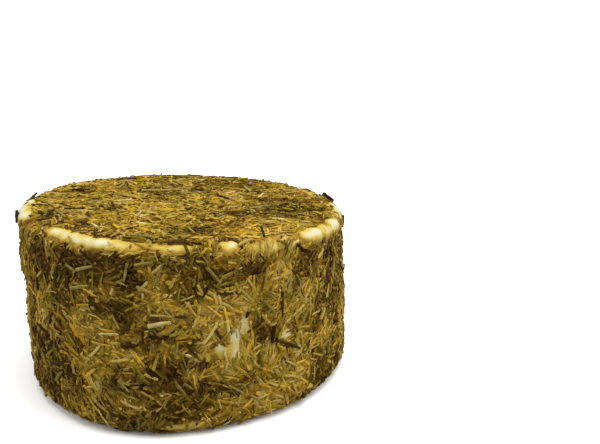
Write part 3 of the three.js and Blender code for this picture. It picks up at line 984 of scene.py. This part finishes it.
def makeCrumbs(look):
    random = np.random.default_rng(look["seed"])
    shapes = [takeShape(crumbShape(1.0, flat)) for flat in (0.5, 0.65, 0.45)]
    rows = []
    for zone in ("side", "top", "base"):
        count = look[zone]
        distance, angle = spreadPlaces(random, count, *zoneSpan(zone))
        frames = surfaceFrames(distance, angle)
        radius, height = profilePlace(distance)
        size = look["size"][0] + (look["size"][1] - look["size"][0]) * random.uniform(0, 1, count) ** 2
        heading = random.uniform(0, 2 * math.pi, count)
        keep = clearOfRim(random, distance, angle, heading, size)
        scale = np.stack([size, size, size], -1)
        offset = look["height"] + random.uniform(-0.2, 0.3, count)
        tilt, roll = (random.normal(size=count) * 0.3 for _ in range(2))
        places = raiseFromTable(layMatrices(random, frames, heading, offset, tilt, roll, scale), size, 0.65)
        tone = coatAt(radius, height, angle, frames[0])[1]
        tint = np.clip(random.uniform(0, 1, count) + (tone - 0.5) * 0.5, 0, 1)
        rows.append([column[keep] for column in (random.integers(0, len(shapes), count), places, tint)])
    picks, places, tints = (np.concatenate(column) for column in zip(*rows))
    material = driedHerb("rubbedRosemaryCrumbs", look["tones"], roughness=0.7)
    joinCopies("herbCrumbs", shapes, picks, places, tints, material)


makeCrumbs(crumbLook)

# Thin threads of stalk and bark
fibreLook = {
    "seed": 31,
    "side": 70, "top": 60,
    "height": 0.5,
    "tones": ("#6f5210", "#9c7c2a", "#bb9d48", "#d3bd78"),
}


def makeFibres(look):
    random = np.random.default_rng(look["seed"])
    shapes = [takeShape(fibreShape(*size)) for size in ((5.0, 0.26, 0.25), (6.5, 0.3, -0.5), (4.0, 0.22, 0.2))]
    rows = []
    for zone in ("side", "top"):
        count = look[zone]
        distance, angle = spreadPlaces(random, count, *zoneSpan(zone))
        frames = surfaceFrames(distance, angle)
        heading = random.uniform(0, math.pi, count)
        pickShape = random.integers(0, len(shapes), count)
        scale = np.stack([random.uniform(0.7, 1.2, count), random.uniform(0.7, 1.3, count), np.ones(count)], -1)
        lengths = np.array([shape["length"] for shape in shapes])[pickShape] * scale[:, 0]
        keep = clearOfRim(random, distance, angle, heading, lengths)
        places = layMatrices(random, frames, heading, np.full(count, look["height"]),
                             random.normal(size=count) * 0.04, random.normal(size=count) * 0.2, scale)
        rows.append([column[keep] for column in
                     (pickShape, raiseFromTable(places, lengths), random.uniform(0.2, 1, count))])
    picks, places, tints = (np.concatenate(column) for column in zip(*rows))
    joinCopies("stalkFibres", shapes, picks, places, tints, driedHerb("rosemaryStalkFibre", look["tones"]))


makeFibres(fibreLook)

# Slivers of rubbed leaf that were smeared over the bare rim's edges with the herb oil
sliverLook = {
    "seed": 23,
    # from angle to angle, from height down to height, how many, heading in degrees from level
    "stretches": (
        (285.8, 296.4, 51.9, 47.0, 50, 82), (222, 250, 50.5, 49.2, 40, 24), (250, 273, 50.8, 49.3, 40, 14),
        (296, 306, 51.9, 50.2, 34, 40), (317, 327, 51.4, 48.4, 16, 76), (277, 284, 50.4, 49.2, 12, 20),
        (328, 336, 50.0, 47.2, 16, 84), (336, 400, 50.6, 48.8, 60, 30), (40, 222, 50.6, 48.8, 170, 30),
        (278.6, 287.4, 35.0, 19.5, 44, 88),
    ),
    "stray": 18,            # degrees that one strays from its stretch's heading
    "tones": ("#7d6724", "#937a2e", "#a88d3c", "#b69c4c"),
}


def makeSlivers(look):
    random = np.random.default_rng(look["seed"])
    shapes = [takeShape(needleShape(**size)) for size in (
        dict(length=2.6, width=0.40, thick=0.14, bow=0.05, curl=0.14, sides=5, rings=1),
        dict(length=1.6, width=0.50, thick=0.16, bow=0.0, curl=0.08, sides=5, rings=1))]
    rows = []
    for start, end, high, low, count, lay in look["stretches"]:
        angle = np.radians(random.uniform(start, end, count))
        distance = random.uniform(outlineDistance(high), outlineDistance(low), count)
        frames = surfaceFrames(distance, angle)
        offset = random.uniform(-0.08, 0.06, count)
        heading = np.radians(lay + look["stray"] * random.normal(size=count))
        scale = np.stack([random.uniform(0.7, 1.2, count), random.uniform(0.7, 1.3, count), np.ones(count)], -1)
        places = layMatrices(random, frames, heading, offset, np.zeros(count),
                             random.normal(size=count) * 0.2, scale)
        rows.append((random.integers(0, len(shapes), count), places, random.uniform(0.1, 0.95, count)))
    picks, places, tints = (np.concatenate(column) for column in zip(*rows))
    joinCopies("leafSlivers", shapes, picks, places, tints, driedHerb("rubbedRosemaryLeaf", look["tones"]))


makeSlivers(sliverLook)

# Twigs and single needles that show on the side: from angle and height to angle and height, width
paleTwigs = (
    (257.0, 31.9, 263.5, 33.1, 1.15), (233.7, 39.4, 239.7, 40.8, 0.80), (231.8, 44.9, 235.4, 43.6, 0.70),
    (235.9, 44.3, 241.6, 45.8, 0.80), (253.2, 51.6, 252.5, 47.6, 0.45), (252.5, 47.7, 251.0, 43.1, 0.65),
    (254.5, 47.4, 259.7, 48.4, 0.70), (262.1, 47.9, 259.6, 42.6, 0.60), (249.0, 42.7, 251.5, 42.2, 0.60),
    (246.4, 14.1, 249.6, 12.4, 0.60), (249.4, 12.5, 252.4, 11.9, 0.60), (247.3, 16.4, 249.9, 13.9, 0.60),
    (264.0, 16.0, 266.1, 13.0, 0.70), (266.0, 16.0, 268.5, 14.3, 0.70), (276.4, 18.5, 279.2, 14.0, 0.40),
    (279.2, 14.0, 283.8, 10.8, 0.65), (281.1, 14.0, 284.8, 13.3, 0.50), (274.1, 46.9, 277.9, 42.5, 0.80),
    (283.4, 44.7, 281.0, 42.4, 0.55), (257.3, 27.6, 259.2, 21.9, 0.50), (264.9, 27.5, 264.4, 24.0, 0.60),
    (290.9, 36.3, 295.0, 31.9, 0.75), (301.0, 40.9, 299.5, 37.1, 0.95), (257.8, 34.8, 264.1, 34.6, 0.65),
    (317.3, 49.6, 317.9, 46.0, 0.45), (322.6, 48.6, 323.6, 44.6, 0.45), (327.4, 48.4, 328.8, 44.4, 0.50),
)
darkTwigs = (
    (295.0, 24.1, 304.9, 18.9, 0.85), (294.5, 28.3, 293.6, 23.6, 0.95), (277.3, 39.9, 283.9, 39.2, 0.55),
    (274.2, 41.8, 272.6, 39.2, 0.70), (285.9, 33.9, 285.2, 32.4, 0.85), (287.6, 29.5, 291.2, 30.6, 0.75),
    (268.2, 25.9, 270.4, 23.5, 0.70), (257.4, 33.6, 260.0, 34.2, 0.70), (264.6, 34.5, 267.9, 34.3, 0.65),
    (303.7, 49.9, 305.9, 48.1, 0.90), (305.5, 48.3, 308.3, 47.4, 1.00), (251.0, 47.0, 254.5, 45.6, 0.80),
    (297.6, 37.8, 297.6, 30.4, 0.65), (273.1, 47.0, 275.4, 43.7, 0.60), (276.0, 30.2, 277.3, 27.4, 0.70),
    (299.3, 52.0, 296.7, 48.4, 0.45), (305.2, 4.4, 307.2, 2.3, 1.10), (248.8, 26.2, 253.6, 26.6, 0.90),
)
# The same on the top, by angle and radius
paleTopTwigs = (
    (184.8, 43.1, 191.0, 40.6, 0.80), (191.0, 40.6, 199.6, 39.1, 0.75), (211.4, 44.2, 201.0, 41.9, 0.90),
    (204.0, 39.7, 216.8, 40.2, 0.80), (100.2, 34.8, 94.8, 24.8, 0.85), (251.0, 43.1, 260.3, 44.6, 0.70),
    (198.3, 26.4, 210.0, 26.8, 0.75), (325.9, 21.8, 342.8, 26.7, 0.85), (30, 25, 48, 30, 0.9),
    (64, 40, 76, 37, 0.9), (132, 33, 146, 28, 0.8), (112, 15, 140, 20, 0.9),
)
darkTopTwigs = (
    (171.0, 20.7, 183.6, 15.0, 0.70), (81.6, 16.3, 70.7, 15.5, 0.80), (33.3, 11.6, 4.8, 13.0, 0.75),
    (263.4, 47.0, 269.5, 47.0, 0.65), (204.5, 44.0, 212.5, 43.6, 0.95), (161.6, 37.3, 156.9, 34.7, 0.75),
    (298.9, 39.0, 293.6, 46.4, 0.70), (330.3, 27.0, 332.5, 34.9, 0.70), (284.8, 49.4, 286.4, 45.4, 0.55),
    (52, 34, 66, 31, 0.7), (118, 40, 128, 42, 0.7),
)
# Dark leaves that stand past the outline: from angle, radius and height to the same, width
standingLeaves = (
    (196.5, 49.4, 49.2, 194.0, 49.2, 51.7, 1.40), (175.9, 48.9, 51.0, 169.5, 48.2, 52.4, 0.90),
    (374.0, 49.0, 52.2, 366.5, 49.5, 51.6, 1.90), (348.5, 49.6, 49.8, 345.5, 49.85, 47.4, 1.10),
    (182.0, 49.6, 27.0, 181.0, 50.2, 24.6, 0.7), (22, 49.0, 51.3, 28, 48.5, 52.1, 1.0),
)
twigLook = {
    "seed": 8,
    "pale": ("#4e4414", "#6e6129", "#8d7d3e", "#b5a46c"),
    "dark": ("#1a1003", "#2e1d06", "#46310c", "#5f4717"),
    "randomSide": 24, "randomTop": 5,        # more of each, anywhere
    "clearFront": (222, 330),                # none of those in this stretch, which is read off
}


def surfaceSpot(angle, value, onTop):
    # a place on the surface and the way out, from degrees and a height or a radius
    distance = value if onTop else outlineDistance(value)
    here, around, upward, out = surfaceFrames(np.array([float(distance)]), np.array([math.radians(angle)]))
    return here[0], out[0]


def rodMatrix(start, end, out, width, raised):
    # a unit rod stretched from one place to another
    along = end - start
    side = np.cross(out, along)
    side /= np.linalg.norm(side)
    normal = np.cross(along, side)
    normal /= np.linalg.norm(normal)
    middle = (start + end) / 2 + out * raised
    return np.concatenate([np.stack([along, side * width, normal * width * 0.85], -1),
                           middle[:, None] * mm], -1)


def twigMatrices(rows, onTop):
    matrices = []
    for angleA, valueA, angleB, valueB, width in rows:
        start, outA = surfaceSpot(angleA, valueA, onTop)
        end, outB = surfaceSpot(angleB, valueB, onTop)
        matrices.append(rodMatrix(start, end, (outA + outB) / 2, width, 0.4 + 0.25 * width))
    return matrices


def looseTwigs(random, count, onTop, look):
    # rows like those above, for the parts of the drum that aren't read off
    rows = []
    while len(rows) < count:
        angle, turn, length = random.uniform(0, 360), random.uniform(0, math.pi), random.uniform(3.5, 7)
        value = math.sqrt(random.uniform(0.02, 0.8)) * 46 if onTop else random.uniform(5, 44)
        width = random.uniform(0.6, 1.2) * (0.65 if onTop else 1)
        if not onTop and look["clearFront"][0] < angle < look["clearFront"][1]:
            continue
        radius = value if onTop else drumForm["radius"]
        spread = math.degrees(length * math.cos(turn) / radius)
        rows.append((angle, value, angle + spread, np.clip(value + length * math.sin(turn), 3.5, 45.5), width))
    return rows


def makeTwigs(look):
    random = np.random.default_rng(look["seed"])
    shape = takeShape(stemShape())
    tables = {"paleTwigs": (paleTwigs, paleTopTwigs, look["pale"]),
              "darkTwigs": (darkTwigs, darkTopTwigs, look["dark"])}
    for name, (sideRows, topRows, tones) in tables.items():
        matrices = twigMatrices(sideRows, False) + twigMatrices(topRows, True)
        matrices += twigMatrices(looseTwigs(random, look["randomSide"], False, look), False)
        matrices += twigMatrices(looseTwigs(random, look["randomTop"], True, look), True)
        if name == "darkTwigs":
            for angleA, radiusA, heightA, angleB, radiusB, heightB, width in standingLeaves:
                start = settle(radiusA, heightA, math.radians(angleA))
                end = settle(radiusB, heightB, math.radians(angleB))
                out = np.array([math.cos(math.radians(angleA)), math.sin(math.radians(angleA)), 0.2])
                matrices.append(rodMatrix(start, end, out, width, 0.1))
        places = np.array(matrices)
        # a thick pale twig has lost more of its bark, and a thick dark one has kept more of it
        least, slope = (0.1, 0.7) if name == "paleTwigs" else (0.4, -0.4)
        thickness = np.linalg.norm(places[:, :, 1], axis=1)
        tints = np.clip(least + slope * (thickness - 0.4) + random.uniform(0, 0.3, len(places)), 0, 0.95)
        material = driedHerb("rosemaryWood" + name[:4].title(), tones, roughness=0.65)
        joinCopies(name, [shape], np.zeros(len(places), int), places, tints, material)


makeTwigs(twigLook)

# A twig pressed in end on, so that its round cut shows: where, how wide, how far it stands out
cutEnd = {"angle": 271.9, "height": 21.0, "width": 2.0, "stands": 0.75,
          "tones": ("#241505", "#3f2a10", "#6b5230", "#8c7450")}


def makeCutEnd(look):
    deselectAll()
    bpy.ops.mesh.primitive_cylinder_add(vertices=20, radius=0.5 * look["width"] * mm, depth=1.6 * mm,
                                        calc_uvs=False, end_fill_type="NGON")
    stub = bpy.context.object
    stub.name = stub.data.name = "cutTwigEnd"
    bpy.ops.object.mode_set(mode="EDIT")
    for inset, sink in ((0.16, 0.0), (0.1, -0.16), (0.3, 0.05)):
        pick(stub, "FACE", lambda f: len(f.verts) > 4 and f.normal.z > 0.9)
        bpy.ops.mesh.inset(thickness=inset * mm)
        bpy.ops.transform.translate(value=(0, 0, sink * mm))
    bpy.ops.object.mode_set(mode="OBJECT")
    applyModifier(stub, "BEVEL", width=0.08 * mm, segments=2, limit_method="ANGLE")
    giveUv(stub, look["width"])
    spot, out = surfaceSpot(look["angle"], look["height"], False)
    side = np.cross((0, 0, 1), out)
    side /= np.linalg.norm(side)
    turned = np.stack([side, np.cross(out, side), out], -1)
    points = getPoints(stub)
    far = np.hypot(points[:, 0], points[:, 1]) / (0.5 * look["width"] * mm)
    centre = spot * mm + out * (look["stands"] - 0.8) * mm
    setPoints(stub, points @ turned.T + centre)
    setAttribute(stub.data, "herbTint", np.clip(0.75 - 0.7 * far, 0, 1))
    stub.data.materials.append(driedHerb("rosemaryTwigEndGrain", look["tones"], roughness=0.7))
    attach(stub, "root")


makeCutEnd(cutEnd)

# Crumbs of curd that came off and stuck to the herbs: angle, height, size
curdSpots = (
    (268.7, 23.7, 1.5), (271.5, 46.6, 0.9), (251.2, 42.3, 0.8), (270.0, 24.6, 0.9), (247.5, 51.3, 1.0),
    (284.5, 28.0, 0.8), (260.0, 12.9, 0.9), (209.0, 51.8, 1.0), (40, 40, 1.1), (95, 48, 1.2),
    (150, 47, 1.0), (333, 46.8, 1.1), (215, 47, 0.9), (318, 47.4, 1.0),
)


def makeCurdCrumbs(spots):
    shapes = [takeShape(crumbShape(1.0, 0.6))]
    matrices = []
    for angle, height, size in spots:
        spot, out = surfaceSpot(angle, height, False)
        along = np.cross(out, (0.2, 0.1, 1.0))
        matrices.append(rodMatrix(spot, spot + along / np.linalg.norm(along) * size, out, size, 0.55))
    places = np.array(matrices)
    crumbs = joinCopies("curdCrumbs", shapes, np.zeros(len(places), int), places,
                        np.zeros(len(places)), cheese.data.materials[0])
    count = len(crumbs.data.vertices)
    for name, value in (("bareShare", 1.0), ("oilStain", 0.2), ("bedTone", 0.5)):
        setAttribute(crumbs.data, name, np.full(count, value))


makeCurdCrumbs(curdSpots)


# Table and light
studioLook = {
    "floor": "#f4f3f1",
    "bounce": "#b4b2ad",     # what the floor throws back on the cheese
    "world": "#ffffff", "worldStrength": 0.26,
    "lights": (
        # name, comes from, softness in degrees, strength
        ("skylight", (0.1, -0.1, 1.0), 50, 3.3),
        ("rightLight", (1.0, -0.4, 0.75), 40, 1.9),
        ("leftLight", (-1.0, -0.25, 0.7), 50, 1.5),
    ),
}


def makeStudio(look):
    deselectAll()
    bpy.ops.mesh.primitive_plane_add(size=60, location=(0, 0, 0))
    floor = bpy.context.object
    floor.name = "floor"
    material, tree = startMaterial("paintedTable")
    seen = addNode(tree, "ShaderNodeLightPath").outputs["Is Camera Ray"]
    colour = addNode(tree, "ShaderNodeMix", {
        "Factor": seen, 6: hexColour(look["bounce"]), 7: hexColour(look["floor"])}, data_type="RGBA")
    shader = addNode(tree, "ShaderNodeBsdfPrincipled", {
        "Base Color": colour.outputs[2], "Roughness": 0.8, "Specular IOR Level": 0.2})
    finishMaterial(tree, shader)
    floor.data.materials.append(material)
    for name, source, softness, strength in look["lights"]:
        lamp = bpy.data.lights.new(name, "SUN")
        lamp.angle = math.radians(softness)
        lamp.energy = strength
        holder = bpy.data.objects.new(name, lamp)
        bpy.context.scene.collection.objects.link(holder)
        holder.rotation_euler = (-Vector(source)).to_track_quat("-Z", "Y").to_euler()
    # the room lights the cheese softly, and looks white behind the table
    world = bpy.data.worlds.new("softWhiteRoom")
    bpy.context.scene.world = world
    world.use_nodes = True
    tree = world.node_tree
    seen = addNode(tree, "ShaderNodeLightPath").outputs["Is Camera Ray"]
    strength = addNode(tree, "ShaderNodeMapRange", {"Value": seen, "To Min": look["worldStrength"], "To Max": 1.0})
    background = tree.nodes["Background"]
    background.inputs["Color"].default_value = hexColour(look["world"])
    tree.links.new(strength.outputs["Result"], background.inputs["Strength"])
    bpy.context.scene.view_settings.view_transform = "Standard"


makeStudio(studioLook)
print("studio ready")

bpy.context.view_layer.update()
